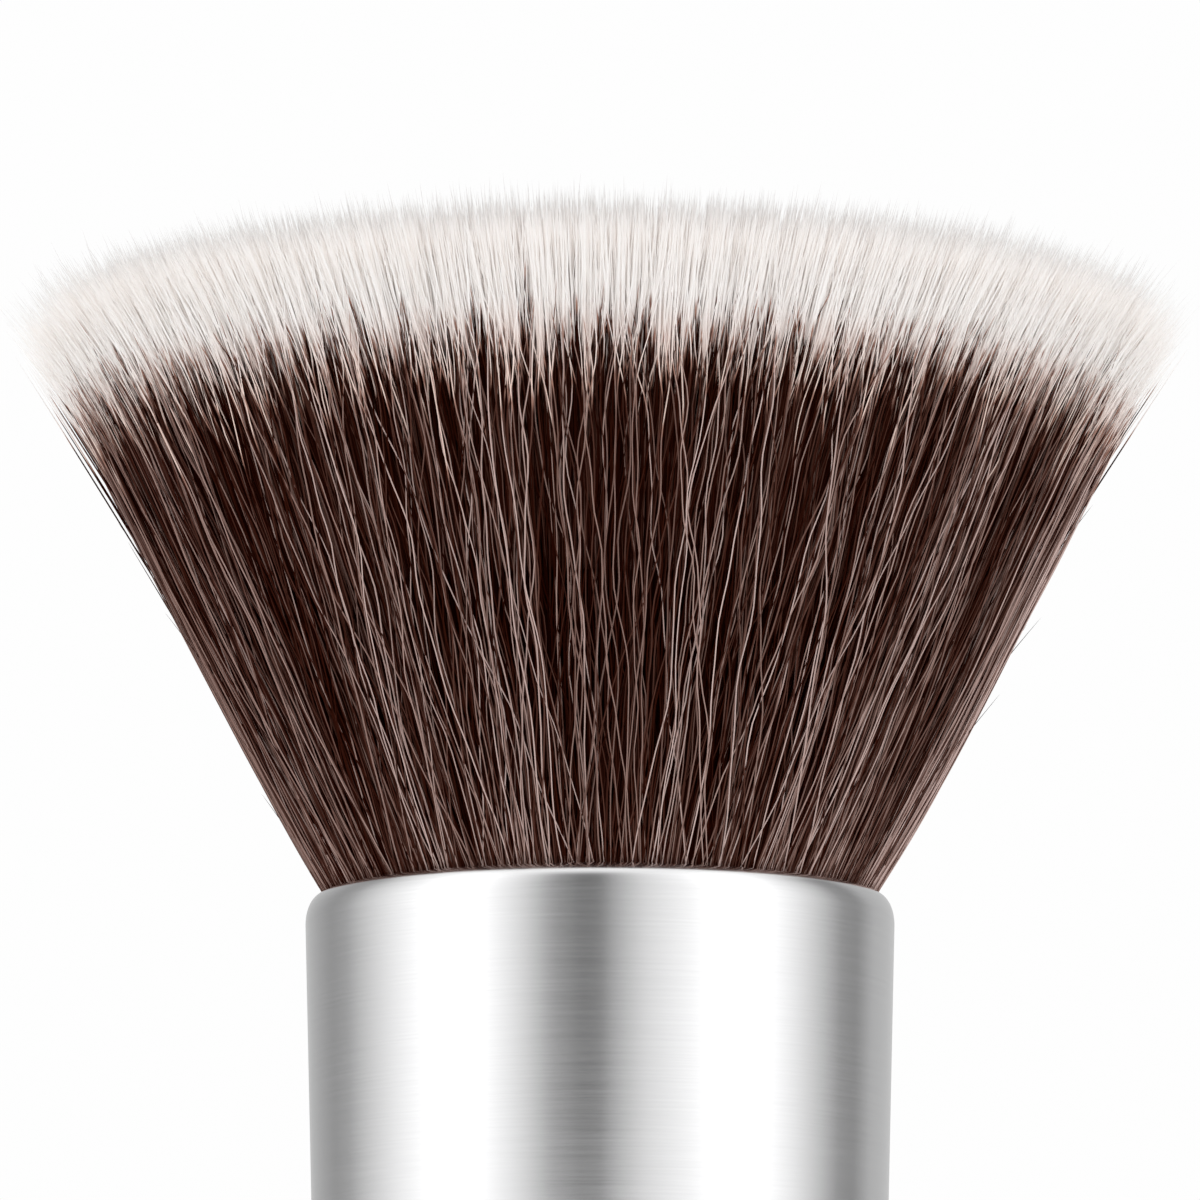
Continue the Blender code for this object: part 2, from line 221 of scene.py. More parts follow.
# %% Overhead light, tent and backdrop
OVERHEAD_LEVEL = 0.66
OVERHEAD_START = 0.60
OVERHEAD_FULL = 0.84
ROOM_STRENGTH = 1.70
TENT_BEHIND = 1.02
TENT_AHEAD = 1.33
BACKDROP_LEVEL = 0.99
WHITE = (1.0, 1.0, 1.0, 1.0)

overhead = fade(world, way.outputs["Z"], OVERHEAD_START, OVERHEAD_FULL)
mixed = blend(world, overhead, bands, (OVERHEAD_LEVEL,) * 3)
ray = add(world, "LightPath", {})
banded = add(world, "Background", {"Color": mixed, "Strength": ROOM_STRENGTH})
tent_level = add(
    world,
    "MapRange",
    {"Value": ahead.outputs[0], "From Min": -1.0, "To Min": TENT_BEHIND, "To Max": TENT_AHEAD},
)
tent = add(world, "Background", {"Color": WHITE, "Strength": tent_level.outputs[0]})
backdrop = add(world, "Background", {"Color": WHITE, "Strength": BACKDROP_LEVEL})
unseen = add(
    world,
    "MixShader",
    {0: ray.outputs["Is Glossy Ray"], 1: tent.outputs[0], 2: banded.outputs[0]},
)
choice = add(
    world,
    "MixShader",
    {0: ray.outputs["Is Camera Ray"], 1: unseen.outputs[0], 2: backdrop.outputs[0]},
)
add(world, "OutputWorld", {"Surface": choice.outputs[0]})
print("world shader:", len(world.node_tree.nodes), "nodes")

# %% [markdown]
# The brush stands on a pale floor. The photograph's view looks up and doesn't show it, but other
# views do.

# %% Floor
FLOOR_HALF_WIDTH = 1.5
FLOOR_COLOUR = (0.80, 0.80, 0.80)
FLOOR_ROUGHNESS = 0.8

floor_mesh = bpy.data.meshes.new("floor")
corners = [(-1, -1, 0), (1, -1, 0), (1, 1, 0), (-1, 1, 0)]
floor_mesh.from_pydata([Vector(c) * FLOOR_HALF_WIDTH for c in corners], [], [(0, 1, 2, 3)])
floor = bpy.data.objects.new("floor", floor_mesh)
bpy.context.scene.collection.objects.link(floor)
floor_finish, _ = new_finish("pale_floor", FLOOR_ROUGHNESS, Base_Color=(*FLOOR_COLOUR, 1.0))
floor_mesh.materials.append(floor_finish)
print("floor:", 2 * FLOOR_HALF_WIDTH, "m wide")

# %% [markdown]
# ## Helpers for finishes
#
# Grain, scratches and speckles all come from one kind of noise, stretched along the way that the
# tool or the wood ran. The last helper puts a finish on a piece, hangs it under the root body and
# hides the imported nodes that the piece stands for.

# %% Finish helpers
def stretched_noise(finish, scales, detail=3.0):
    """Noise whose grain is stretched: the scales are waves for each metre along X, Y and Z."""
    place = add(finish, "TexCoord", {})
    stretched = add(finish, "Mapping", {"Vector": place.outputs["Object"], "Scale": scales})
    noise = add(
        finish,
        "TexNoise",
        {"Vector": stretched.outputs["Vector"], "Scale": 1.0, "Detail": detail},
    )
    return noise.outputs["Fac"]


def own_height(finish):
    """The height of each point of a piece, for finishes that change on the way up."""
    place = add(finish, "TexCoord", {})
    return add(finish, "SeparateXYZ", {"Vector": place.outputs["Object"]}).outputs["Z"]


def feed(finish, shader, socket, source):
    """Links a pattern to one of the shader's sockets."""
    finish.node_tree.links.new(source, shader.inputs[socket])


def adopt(piece, finish, slot, *nodes):
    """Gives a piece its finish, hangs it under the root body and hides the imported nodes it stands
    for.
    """
    piece.data.materials.clear()
    piece.data.materials.append(finish)
    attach(piece, "root")
    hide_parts(*nodes)
    return piece


# %% [markdown]
# ## The fan of filaments
#
# Some tens of thousands of nylon filaments fan out from the ferrule. Their outer side is a
# plain cone, and their tips make a flat circle with a soft edge. One function gives the cone's
# radius at a rise above the mouth, and another the level of the tips over a share of the
# radius.

# %% The fan's shape
FAN_FOOT_RADIUS = 0.01020
FAN_SLOPE = 0.484
TIP_RISE = 0.0227
TIP_DOME = 0.0003
EDGE_START_SHARE = 0.92
EDGE_DROP = 0.0012


def fan_radius(rise):
    """Outer radius of the fan at a rise above the ferrule's mouth."""
    return FAN_FOOT_RADIUS + FAN_SLOPE * rise


def tip_rise(share):
    """Rise of the tips above the mouth, at a share of the fan's radius."""
    edge = np.clip((share - EDGE_START_SHARE) / (1 - EDGE_START_SHARE), 0.0, None)
    return TIP_RISE + TIP_DOME * (1 - share**2) - EDGE_DROP * edge**2


print(f"tuft: {fan_radius(tip_rise(1.0)) * 2000:.1f} mm across its flat top")

# %% [markdown]
# ### Locks
#
# Neighbours on a real brush gather in small locks. A sum of a few sines round the axis gives
# each bearing a lock value that neighbours share. It shifts their tips, their dip line and their
# tone together. Towards the tips the filaments of a lock also draw together: the same kind of
# sum, with more waves round the axis, moves each point sideways to the middle of its small lock.

# %% Lock values round the axis
LOCK_WAVES = ((23, 0.9), (41, 0.7), (67, 0.6), (109, 0.5))
LOCK_PHASE = 0.3
GATHER_WAVES = ((83, 0.26), (137, 0.22), (199, 0.18))
GATHER_START = 0.0120
GATHER_END = 0.0210
GATHER_CURVE = 1.5
LOCK_SLANT = 12.0


def locks(bearing, phase):
    """A value about -1 to 1 that neighbouring filaments share."""
    total = sum(size * np.sin(count * bearing + phase * count) for count, size in LOCK_WAVES)
    return total / sum(size for _, size in LOCK_WAVES)


def gather(angle, share, rise):
    """Way round the axis that draws each point to the middle of its small lock."""
    grown = (rise - GATHER_START) / (GATHER_END - GATHER_START)
    phase = LOCK_SLANT * share
    total = sum(
        size / count * np.sin(count * angle + phase + count) for count, size in GATHER_WAVES
    )
    return -total * np.clip(grown, 0, 1) ** GATHER_CURVE


def lock_middle(angle, share):
    """1 in the middle of a small lock, down to -1 between two locks."""
    phase = LOCK_SLANT * share
    total = sum(size * np.cos(count * angle + phase + count) for count, size in GATHER_WAVES)
    return total / sum(size for _, size in GATHER_WAVES)


lock_sample = locks(np.linspace(0, 2 * np.pi, 1000), LOCK_PHASE)
print(f"lock values: {lock_sample.min():.2f} to {lock_sample.max():.2f}")

# %% [markdown]
# ### Places and waves
#
# A group of filaments fills a ring of the tuft evenly. Their tips are a little ragged, and the
# middle of a small lock stands a little higher than the gap beside it. No filament is straight:
# each waves sideways, in a few sizes of wave from long to short, with turns and sizes of its own.

# %% Scatter places and waves
RAGGED_TIPS = 0.00026
TIP_CLUMPS = 0.00022
LOCK_TIPS = 0.00012
SMALLEST_WAVE = 0.3


def even_places(chance, count, shares):
    """Bearings and shares of the radius that fill a ring evenly, and the rise of their tips."""
    bearing = (np.arange(count)[:, None] + chance.uniform(0, 1, (count, 1))) * 2 * np.pi / count
    share = np.sqrt(chance.uniform(shares[0] ** 2, shares[1] ** 2, (count, 1)))
    lock = locks(bearing, LOCK_PHASE) * LOCK_TIPS + lock_middle(bearing, share) * TIP_CLUMPS
    ragged = chance.normal(0, RAGGED_TIPS, (count, 1))
    return bearing, share, tip_rise(share) + lock + ragged


def waver(chance, rise, waves):
    """Sideways way of each line, from (size, fewest turns, most turns) for each wave."""
    total = np.zeros_like(rise)
    for size, fewest, most in waves:
        own = chance.uniform(SMALLEST_WAVE, 1.0, (len(rise), 1)) * size
        turns = chance.uniform(fewest, most, (len(rise), 1))
        start = chance.uniform(0, 2 * np.pi, (len(rise), 1))
        total += own * np.sin(2 * np.pi * turns * rise / TIP_RISE + start)
    return total


# %% [markdown]
# ### Width, tone and dip of each filament
#
# A filament keeps its width up to the last 5 mm and tapers to a point from there. One that
# starts in the open, and not in the ferrule, grows out of a point too.
#
# Its tone is drawn by chance, and the lock value shifts it. Filaments deeper in the tuft are
# painted darker, a painted shade for the shadow deep in the tuft. The photograph shows the right
# side a little paler and both side edges a little darker, and that is painted into the tone as
# painted light and shade.
#
# The dip value is one half where the filament crosses its own dip line. That line lies 16.7 mm
# above the mouth and a little higher at the side edges, and each filament is off by its own
# small amount. The bleach soaks further down in the middle of a small lock than between two.

# %% Width, tone and dip
FULL_TAPER = 0.0050
TIP_TAPER_CURVE = 0.55
BLUNT_FOOT = 0.0
FOOT_TAPER_CURVE = 0.6
FINEST_FOOT = 0.01
TONE_FLOOR = 0.28
LOCK_TONE = 0.03
RIGHT_PAINTED_LIGHT = 0.033
SIDES_PAINTED_SHADE = 0.022
PAINTED_SHADE_DEPTH = 0.07
DIP_RISE = 0.0167
DIP_LINE = 0.5
DIP_SCATTER = 0.0006
LOCK_DIP = 0.0002
SIDE_DIP = 0.0002
DIP_STRETCH = (0.033, 0.039)


def half_widths(chance, rise, ends, width, foot_taper):
    """Half the width of each filament at its stations, between its foot and its top."""
    foot, top = ends
    half = chance.uniform(width[0], width[1], (len(rise), 1)) / 2
    halves = half * np.clip((top - rise) / FULL_TAPER, 0, 1) ** TIP_TAPER_CURVE
    if foot_taper > BLUNT_FOOT:
        grown = np.clip((rise - foot) / foot_taper, FINEST_FOOT, 1)
        halves = halves * grown**FOOT_TAPER_CURVE
    return halves


def own_tones(chance, bearing, share, lock, tones, painted_shade_tone):
    """The tone of each filament, from 0 for the darkest to 1 for the palest, with painted shade and
    painted light in it.
    """
    # Deeper filaments are painted darker: painted shade for the shadow deep in the tuft.
    depth = np.clip((1.0 - share) / PAINTED_SHADE_DEPTH, 0, 1)
    tone = TONE_FLOOR + (1 - TONE_FLOOR) * chance.beta(tones[0], tones[1], (len(bearing), 1))
    # The right side is painted paler and the side edges darker: painted light and shade.
    shade = RIGHT_PAINTED_LIGHT * np.cos(bearing) - SIDES_PAINTED_SHADE * np.cos(bearing) ** 2
    tone = np.clip(tone + lock * LOCK_TONE + shade, 0, 1)
    return tone * (1 - depth * (1 - painted_shade_tone))


def dip_values(chance, bearing, rise, lock, soaked, dip_offset, dip_scatter):
    """How far along the dip each point lies: 0.5 on the filament's dip line, more above it."""
    own = chance.normal(0, dip_scatter, (len(rise), 1))
    dip = DIP_RISE + dip_offset + lock * LOCK_DIP - soaked + own
    dip = dip + SIDE_DIP * np.cos(bearing) ** 2
    stretch = chance.uniform(DIP_STRETCH[0], DIP_STRETCH[1], (len(rise), 1))
    return DIP_LINE + (rise - dip) / stretch


# %% [markdown]
# ### Laying the filaments
#
# A filament is a line that runs from the mouth to the flat top. Each of its points has a bearing
# round the axis, a radius and a rise above the mouth. The line leans a little to one side, and
# it waves. Both grow from the root, because the ferrule holds the roots in place.
# The tips of some locks flare out. Pale filaments lie a little further out than dark ones, or
# the dark ones in front would cut them into dashes.
#
# NumPy works out all lines of a group in one go, which takes a blink where a loop over points
# would take minutes.

# %% Lay a group of filaments
SOAK = 0.0012
HOLD_LENGTH = 0.004
IN_AND_OUT = 0.25
LEAST_RADIUS = 0.002
STATION_CURVE = 1.3
RIM_LOCK_PART = 0.6
DEEP_LOCK_PART = 0.4
DEEP_LOCK_PHASE = 1.7
DEEP_LOCK_SLANT = 9
FLARE_START = 0.0150
FLARE_CURVE = 1.8
FLARE_PHASE = 6.14
FLARE_LOCKS = 0.45
FLARE_LOCK_CURVE = 1.5
LEAST_FLARE = 0.5
MIDDLE_TONE = 0.5


def flared(chance, bearing, rise, flare):
    """How far out each point moves where its lock flares at the tips."""
    grown = np.clip((rise - FLARE_START) / (TIP_RISE - FLARE_START), 0, 1) ** FLARE_CURVE
    opening = np.clip(locks(bearing, FLARE_PHASE) + FLARE_LOCKS, 0, 1) ** FLARE_LOCK_CURVE
    own = chance.uniform(LEAST_FLARE, 1.0, (len(rise), 1))
    return flare * (opening * own) * grown


def lay_filaments(
    chance,
    places,
    foot_rise,
    stations,
    lean,
    waves,
    width,
    tones,
    dip_offset=0.0,
    dip_scatter=DIP_SCATTER,
    foot_taper=BLUNT_FOOT,
    painted_shade_tone=1.0,
    flare=0.0,
    light_lift=0.0,
    flatness=1.0,
    foot_soaks=False,
    top_soaks=False,
):
    """Centre lines, widths, tones and dip values for one group of filaments."""
    bearing, share, top = places
    count = len(bearing)
    deep_lock = locks(bearing + share * DEEP_LOCK_SLANT, DEEP_LOCK_PHASE)
    lock = locks(bearing, LOCK_PHASE) * RIM_LOCK_PART + deep_lock * DEEP_LOCK_PART
    drift = chance.normal(0, lean, (count, 1))
    at_dip = bearing + drift * DIP_RISE / TIP_RISE / fan_radius(DIP_RISE)
    soaked = SOAK * lock_middle(at_dip, share)
    foot = foot_rise - foot_soaks * soaked
    top = top - top_soaks * soaked
    steps = 1 - (1 - np.linspace(0, 1, stations)) ** STATION_CURVE
    rise = foot + (top - foot) * steps

    held = 1 - np.exp(-np.maximum(rise, 0) / HOLD_LENGTH)
    sideways = drift * rise / TIP_RISE + held * waver(chance, rise, waves)
    standing_off = np.minimum(share, 1.0) + np.maximum(share - 1.0, 0.0) * held
    in_and_out = IN_AND_OUT * held * waver(chance, rise, waves[:1])
    radius = standing_off * fan_radius(rise) + in_and_out
    angle = bearing + sideways / radius.clip(min=LEAST_RADIUS)
    angle = angle + gather(angle, share, rise)
    radius = radius + flared(chance, bearing, rise, flare)

    halves = half_widths(chance, rise, (foot, top), width, foot_taper)
    tone = own_tones(chance, bearing, share, lock, tones, painted_shade_tone)
    radius = radius + held * light_lift * (tone - MIDDLE_TONE)
    dipped = dip_values(chance, bearing, rise, lock, soaked, dip_offset, dip_scatter)
    return {
        "radius": radius,
        "rise": rise,
        "angle": angle,
        "halves": halves,
        "tone": tone,
        "dipped": dipped,
        "flatness": np.full((count, 1), flatness),
    }


# %% [markdown]
# ### Meshing the filaments
#
# Hair in the render has to stay hair in the meshes too, so each filament is a real three-sided tube
# that closes in a point. A filament is only two pixels wide, where three sides look as round as
# twelve. They are shaded flat: smooth shading would bend the normals of so coarse a tube far off
# its faces, and white hair would lose a third of its light by that.
#
# The colour of a filament depends on two values alone: its own tone, and how far along the dip a
# point lies. They are written as a UV map, and again as a second map for baking, so that no texture
# space is spent on each hair.

# %% Corners and faces of the tubes
SIDES = 3
TWIST_STEP = 2.4


def tube_points(group):
    """Corner points of each tube: three round every station, and a single one at the tip."""
    cosine, sine = np.cos(group["angle"]), np.sin(group["angle"])
    radius, height = group["radius"], MOUTH + group["rise"]
    lines = np.stack([radius * cosine, radius * sine, height], axis=-1)
    count, stations = lines.shape[:2]
    rings = stations - 1
    lean = 1 / math.hypot(1, FAN_SLOPE)
    outward = np.stack([cosine * lean, sine * lean, np.full_like(cosine, -FAN_SLOPE * lean)], -1)
    around = np.stack([-sine, cosine, np.zeros_like(cosine)], -1)

    corner = np.arange(SIDES) * 2 * np.pi / SIDES
    twist = (np.arange(count) * TWIST_STEP)[:, None] + corner[None, :]
    off_out = np.cos(twist)[:, None, :, None] * outward[:, :rings, None, :]
    off_round = np.sin(twist)[:, None, :, None] * around[:, :rings, None, :]
    halves = group["halves"][:, :rings, None, None]
    flatness = group["flatness"][:, :, None, None]
    ring_points = lines[:, :rings, None, :] + halves * (off_out * flatness + off_round)
    return np.concatenate([ring_points.reshape(count, -1, 3), lines[:, -1:, :]], axis=1)


def tube_faces(rings):
    """The corners of one tube's faces in a row, and how many each face has."""
    quads, triangles = [], [[2, 1, 0]]
    for ring in range(rings - 1):
        for side in range(SIDES):
            after = (side + 1) % SIDES
            low, high = ring * SIDES, (ring + 1) * SIDES
            quads.append([low + side, low + after, high + after, high + side])
    last, tip = (rings - 1) * SIDES, rings * SIDES
    for side in range(SIDES):
        triangles.append([last + side, last + (side + 1) % SIDES, tip])
    row = np.concatenate([np.array(quads).ravel(), np.array(triangles).ravel()])
    return row, np.array([4] * len(quads) + [3] * len(triangles))


print("faces of a tube with 14 rings:", len(tube_faces(14)[1]))

# %% [markdown]
# The three corners of a ring differ a little in tone, so that a filament isn't one flat colour
# from side to side. The tubes of a group then become one mesh, written straight into its arrays.

# %% Mesh a group of filaments
TONE_SPREAD = 0.012
MAP_MARGIN = 0.001


def filament_values(group, rings):
    """The tone and the dip value of each corner point."""
    spread = np.tile((np.arange(SIDES) - 1) * TONE_SPREAD, rings)
    tone = np.clip(group["tone"], TONE_SPREAD, 1 - TONE_SPREAD)
    tones = np.concatenate([tone + spread[None, :], tone], axis=1)
    dips = np.repeat(group["dipped"][:, :rings], SIDES, axis=1)
    dips = np.concatenate([dips, group["dipped"][:, -1:]], axis=1)
    return np.stack([tones, dips.clip(MAP_MARGIN, 1 - MAP_MARGIN)], axis=-1).reshape(-1, 2)


def mesh_filaments(name, group):
    """One object with a closed, pointed, three-sided tube for each filament of the group."""
    points = tube_points(group)
    count, per_line = points.shape[:2]
    rings = per_line // SIDES
    row, sizes = tube_faces(rings)
    corners = (row[None, :] + (np.arange(count) * per_line)[:, None]).ravel()
    starts = np.concatenate([[0], np.cumsum(np.tile(sizes, count))[:-1]])
    mesh = bpy.data.meshes.new(name)
    mesh.vertices.add(count * per_line)
    mesh.vertices.foreach_set("co", points.astype(np.float32).ravel())
    mesh.loops.add(len(corners))
    mesh.loops.foreach_set("vertex_index", corners.astype(np.int32))
    mesh.polygons.add(len(starts))
    mesh.polygons.foreach_set("loop_start", starts.astype(np.int32))
    mesh.update(calc_edges=True)

    values = filament_values(group, rings)[corners]
    for layer_name in ("Filament", "OFBake"):
        layer = mesh.uv_layers.new(name=layer_name)
        layer.uv.foreach_set("vector", values.astype(np.float32).ravel())
    mesh.shade_flat()
    piece = bpy.data.objects.new(name, mesh)
    bpy.context.scene.collection.objects.link(piece)
    print(f"{name}: {count} filaments, {len(mesh.polygons)} faces")
    return piece


# %% [markdown]
# ### The filament's finish
#
# The nylon is dyed brown, and its last few millimetres are bleached white in a dip. No two
# filaments take the dye alike: most are nearly black, and a few are tan. The tan is partly dye and
# partly painted highlight, because the shader has no specular gloss of its own to catch the light.
# The first value picks the tone, in brown and in white, and the second one crosses from brown to
# white.

# %% Dipped filament finish
FILAMENT_ROUGHNESS = 0.45
# The pale top of this ramp is partly painted highlight. Its darkest part serves mostly the painted
# shade of deep filaments.
BROWN_BY_TONE = (
    (0.00, (0.0015, 0.0002, 0.0001)),
    (0.15, (0.0100, 0.0010, 0.0004)),
    (0.35, (0.0180, 0.0026, 0.0010)),
    (0.55, (0.0380, 0.0085, 0.0045)),
    (0.75, (0.0950, 0.0400, 0.0290)),
    (0.90, (0.3350, 0.2150, 0.1840)),
    (1.00, (0.7000, 0.5300, 0.4900)),
)
WHITE_BY_TONE = (
    (0.00, (0.960, 0.915, 0.892)),
    (0.50, (0.975, 0.951, 0.933)),
    (1.00, (0.986, 0.971, 0.960)),
)

filament_finish, filament_shader = new_finish(
    "dipped_filament", FILAMENT_ROUGHNESS, Specular_IOR_Level=0.0
)
two_values = add(filament_finish, "UVMap", {}, uv_map="Filament")
apart = add(filament_finish, "SeparateXYZ", {"Vector": two_values.outputs["UV"]})
brown = ramp(filament_finish, apart.outputs["X"], BROWN_BY_TONE)
white = ramp(filament_finish, apart.outputs["X"], WHITE_BY_TONE)
print("tones:", len(BROWN_BY_TONE), "brown and", len(WHITE_BY_TONE), "white")

# %% [markdown]
# The very tips taper to nothing and let the light through, so they look grey against the white
# room. Their height gives them a greyer white, painted into their colour as painted shade for the
# light that passes through them. Near the dip line the white is warmer. This is partly a bleach
# that worked less and partly painted warm shade, standing for light that the brown filaments below
# have tinted.

# %% Warm and grey whites
PAINTED_TIP_GREY = (0.77, 0.760, 0.755)
GREY_UNDER_TIPS = 0.0018
GREY_OVER_TIPS = 0.0002
WARM_WHITE_AND_SHADE = (0.86, 0.66, 0.58)
WARM_UNDER_DIP = 0.0008
WARM_OVER_DIP = 0.0026

height = own_height(filament_finish)
tips_height = MOUTH + TIP_RISE
# The last 1.8 mm under the tips are painted grey: painted shade for the light that passes through
# them.
tips = fade(filament_finish, height, tips_height - GREY_UNDER_TIPS, tips_height + GREY_OVER_TIPS)
dip_height = MOUTH + DIP_RISE
near_dip = fade(filament_finish, height, dip_height - WARM_UNDER_DIP, dip_height + WARM_OVER_DIP)
# Near the dip the white is painted warm: partly weaker bleach, partly painted warm shade.
bleach_and_warm_shade = blend(filament_finish, near_dip, WARM_WHITE_AND_SHADE, white)
tipped = blend(filament_finish, tips, bleach_and_warm_shade, PAINTED_TIP_GREY)
print(f"dip line {dip_height * 1000:.1f} mm and tips {tips_height * 1000:.1f} mm over the table")

# %% [markdown]
# The warm part of the dye bleaches out last, so brown doesn't turn grey on its way to white. It
# passes through a warm beige, which lies at the middle of the dip.

# %% The dip
HALF_BLEACHED = (0.360, 0.195, 0.150)
DIP_HALF_WIDTH = 0.0125
dyed = brown
for dip_start, colour in ((DIP_LINE - DIP_HALF_WIDTH, HALF_BLEACHED), (DIP_LINE, tipped)):
    dip = fade(filament_finish, apart.outputs["Y"], dip_start, dip_start + DIP_HALF_WIDTH)
    dyed = blend(filament_finish, dip, dyed, colour)
feed(filament_finish, filament_shader, "Base Color", dyed)
print("filament finish:", len(filament_finish.node_tree.nodes), "nodes")

# %% [markdown]
# ### Groups of filaments
#
# The tuft is laid group by group, from one source of chance, so that every run gives the same
# brush. The side of the fan comes first, a shell of full-length filaments. A group is cut into
# sectors, so that each piece stays under 200,000 triangles.

# %% Side of the fan
SEED = 15
SIDE_COUNT = 10500
SHELL_SHARES = (0.90, 0.996)
CALM_WAVES = ((0.00010, 0.6, 1.6), (0.00006, 2.0, 4.0))
ROOT_RISE = -0.0006


def add_filaments(name, group, sectors):
    """The group's filaments as one piece for each sector of the fan."""
    sector = (group["angle"][:, 0] // (2 * np.pi / sectors)).astype(int) % sectors
    for number in range(sectors):
        chosen = {key: values[sector == number] for key, values in group.items()}
        piece = mesh_filaments(f"{name}_{number + 1}", chosen)
        adopt(piece, filament_finish, "filament", "bristle_tuft")


chance = np.random.default_rng(SEED)
side_group = lay_filaments(
    chance,
    even_places(chance, SIDE_COUNT, SHELL_SHARES),
    foot_rise=ROOT_RISE,
    stations=15,
    lean=0.0015,
    waves=CALM_WAVES,
    width=(0.000060, 0.000086),
    tones=(1.0, 2.9),
    # The deepest side filaments keep 0.12 of their tone: painted shade.
    painted_shade_tone=0.12,
    flare=0.0022,
    light_lift=0.0005,
)
add_filaments("filaments_side", side_group, 6)

# %% [markdown]
# Over the side lie fewer and paler filaments that lean and wave more and cross the others. Their
# paleness is partly their own tone and partly painted highlight where light would catch them. They
# keep the brown from looking combed.

# %% Paler filaments that cross the others
CROSSING_COUNT = 2100
WILD_WAVES = ((0.00032, 0.8, 2.0), (0.00015, 2.5, 4.5), (0.00006, 5.0, 9.0))
crossing_group = lay_filaments(
    chance,
    even_places(chance, CROSSING_COUNT, (0.995, 1.035)),
    foot_rise=ROOT_RISE,
    stations=37,
    lean=0.0031,
    waves=WILD_WAVES,
    width=(0.000046, 0.000064),
    # Their pale tones are partly painted highlight.
    tones=(1.3, 1.2),
    dip_offset=0.0003,
    dip_scatter=0.0010,
    flare=0.0022,
    light_lift=0.0007,
)
add_filaments("filaments_crossing", crossing_group, 4)

# %% [markdown]
# The white zone is denser than the brown one: the dip makes the ends swell and cling. Shorter
# filaments that show only their white ends fill it up. Each starts as a point near the dip
# line, half bleached, as a filament does where it comes out from behind others.

# %% White ends that fill the white zone
WHITE_COUNT = 14000
WHITE_START = 0.0010
WHITE_START_SCATTER = 0.0004
white_places = even_places(chance, WHITE_COUNT, (0.982, 1.006))
lower = chance.exponential(WHITE_START_SCATTER, (WHITE_COUNT, 1))
ends_group = lay_filaments(
    chance,
    white_places,
    foot_rise=DIP_RISE - lower + WHITE_START,
    stations=8,
    lean=0.0016,
    waves=CALM_WAVES,
    width=(0.000090, 0.000122),
    tones=(1.4, 2.2),
    dip_offset=0.0008,
    dip_scatter=0.0005,
    foot_taper=0.0014,
    flare=0.0024,
    flatness=0.25,
    foot_soaks=True,
)
add_filaments("filaments_ends", ends_group, 3)

# %% [markdown]
# Some filaments took hardly any bleach. Their dark ends reach into the white zone and make the
# dip line ragged.

# %% Dark ends that reach into the white zone
DARK_COUNT = 5000
DARK_REACH = 0.0007
DARK_REACH_SCATTER = 0.0008
DARK_UNDER_TIPS = 0.0025
dark_bearing, dark_share, dark_top = even_places(chance, DARK_COUNT, (0.994, 1.010))
higher = chance.exponential(DARK_REACH_SCATTER, (DARK_COUNT, 1))
dark_end = np.minimum(DIP_RISE + higher + DARK_REACH, dark_top - DARK_UNDER_TIPS)
dark_group = lay_filaments(
    chance,
    (dark_bearing, dark_share, dark_end),
    foot_rise=0.0100,
    stations=9,
    lean=0.0016,
    waves=CALM_WAVES,
    width=(0.000072, 0.000100),
    tones=(1.6, 3.4),
    dip_offset=0.0075,
    foot_taper=0.0020,
    top_soaks=True,
)
add_filaments("filaments_dark", dark_group, 2)

# %% [markdown]
# From above, one looks onto the flat top, so it is filled too. Only the upper ends of these
# filaments can be seen, and only those are laid.

# %% Upper ends under the flat top
TOP_COUNT = 26000
top_group = lay_filaments(
    chance,
    even_places(chance, TOP_COUNT, (0.0, 0.985)),
    foot_rise=0.0180,
    stations=5,
    lean=0.0012,
    waves=CALM_WAVES,
    width=(0.000090, 0.000116),
    tones=(1.4, 2.4),
    dip_offset=-0.0010,
    flatness=0.5,
)
add_filaments("filaments_top", top_group, 3)

# %% [markdown]
# ### Stray filaments
#
# A few filaments stand off the fan's side. Those on the left and right edges are placed one by
# one after the photograph: where each leaves the fan, where it ends, and how far outside the
# fan its tip lies, to which all add the same small gap. Chance scatters some more all round.

